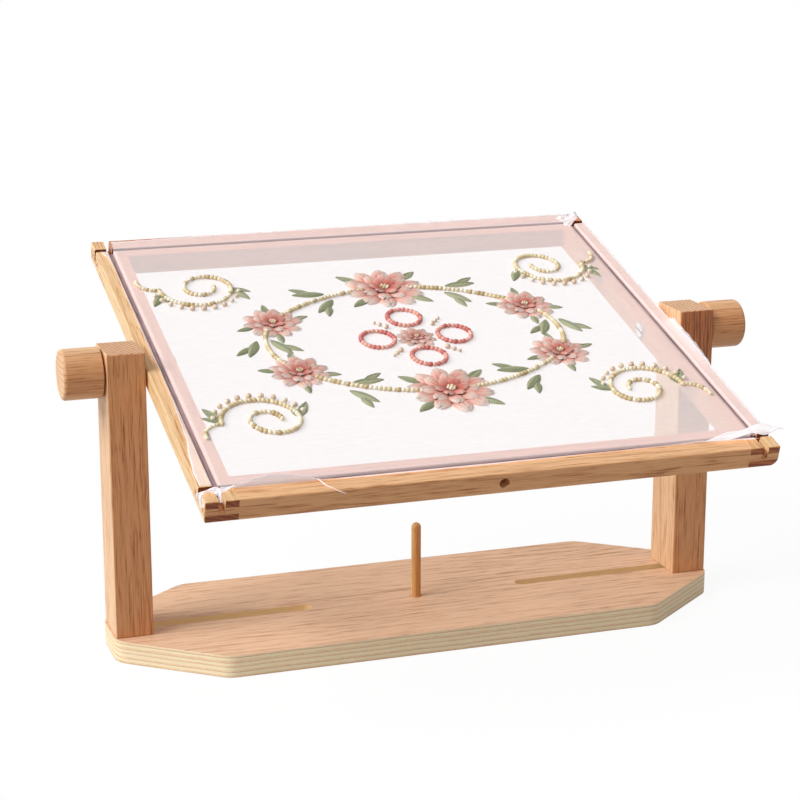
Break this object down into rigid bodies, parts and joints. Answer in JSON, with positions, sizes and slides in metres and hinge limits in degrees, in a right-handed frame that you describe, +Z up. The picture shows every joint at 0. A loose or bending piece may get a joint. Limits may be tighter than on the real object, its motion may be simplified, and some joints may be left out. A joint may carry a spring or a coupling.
{
  "type": "embroidery stand",
  "caption": "Wooden table stand holding a grooved embroidery frame that tilts between two posts on hand-turned pivot screws, on a plywood base with a thread peg.",
  "frame": {"origin": "on the table surface, under the middle of the plywood base", "axes": "+X along the base towards the right post, +Y towards the back, +Z up; the frame tilts about X"},
  "size_m": [0.5784, 0.404, 0.296],
  "materials": {
    "plywood": "lightly sanded veneer, bare edge plies",
    "beech": "oiled, satin",
    "pale_beech": "oiled, satin",
    "strip_wood": "matt",
    "dowel": "sanded",
    "steel": "zinc plated",
    "brass": "machined",
    "organza": "sheer, faint sheen",
    "thread": "stranded silk, soft sheen"
  },
  "bodies": {
    "base": {"base": "plywood"},
    "left_post": {"left_post": "beech", "left_post_insert": "brass", "left_clamp_bolt": "steel", "left_clamp_washer": "steel", "left_pivot_washer": "steel"},
    "right_post": {"right_post": "beech", "right_post_insert": "brass", "right_clamp_bolt": "steel", "right_clamp_washer": "steel", "right_pivot_washer": "steel"},
    "left_knob_washer": {"left_knob_washer": "steel"},
    "right_knob_washer": {"right_knob_washer": "steel"},
    "left_knob": {"left_knob": "pale_beech", "left_pivot_stud": "steel"},
    "right_knob": {"right_knob": "pale_beech", "right_pivot_stud": "steel"},
    "frame": {"front_rail": "beech", "back_rail": "beech", "left_rail": "pale_beech", "right_rail": "pale_beech", "front_strip": "strip_wood", "back_strip": "strip_wood", "left_strip": "strip_wood", "right_strip": "strip_wood", "organza": "organza", "embroidery": "thread", "left_sleeve_nut": "steel", "right_sleeve_nut": "steel"},
    "thread_peg": {"thread_peg": "dowel"}
  },
  "joints": [
    {"name": "left_post_slide", "type": "slide", "parent": "base", "child": "left_post", "axis": [-1, 0, 0], "range_m": [0, 0.002]},
    {"name": "right_post_slide", "type": "slide", "parent": "base", "child": "right_post", "axis": [1, 0, 0], "range_m": [0, 0.002]},
    {"name": "frame_tilt", "type": "hinge", "parent": "left_post", "child": "frame", "pos_m": [0, 0, 0.23], "axis": [1, 0, 0], "range_deg": [-96, 64]},
    {"name": "left_knob_turn", "type": "hinge", "parent": "left_knob_washer", "child": "left_knob", "pos_m": [-0.2726, 0, 0.23], "axis": [-1, 0, 0], "range_deg": [0, 720]},
    {"name": "left_knob_travel", "type": "slide", "parent": "left_post", "child": "left_knob_washer", "axis": [-1, 0, 0], "range_m": [0, 0.002]},
    {"name": "right_knob_turn", "type": "hinge", "parent": "right_knob_washer", "child": "right_knob", "pos_m": [0.2726, 0, 0.23], "axis": [1, 0, 0], "range_deg": [0, 720]},
    {"name": "right_knob_travel", "type": "slide", "parent": "right_post", "child": "right_knob_washer", "axis": [1, 0, 0], "range_m": [0, 0.002]},
    {"name": "peg_lift", "type": "slide", "parent": "base", "child": "thread_peg", "axis": [0, 0, 1], "range_m": [0, 0.013]}
  ],
  "couplings": [
    {"joint": "left_knob_turn", "follows": "left_knob_travel", "rad_per_m": 6283},
    {"joint": "right_knob_turn", "follows": "right_knob_travel", "rad_per_m": 6283}
  ]
}
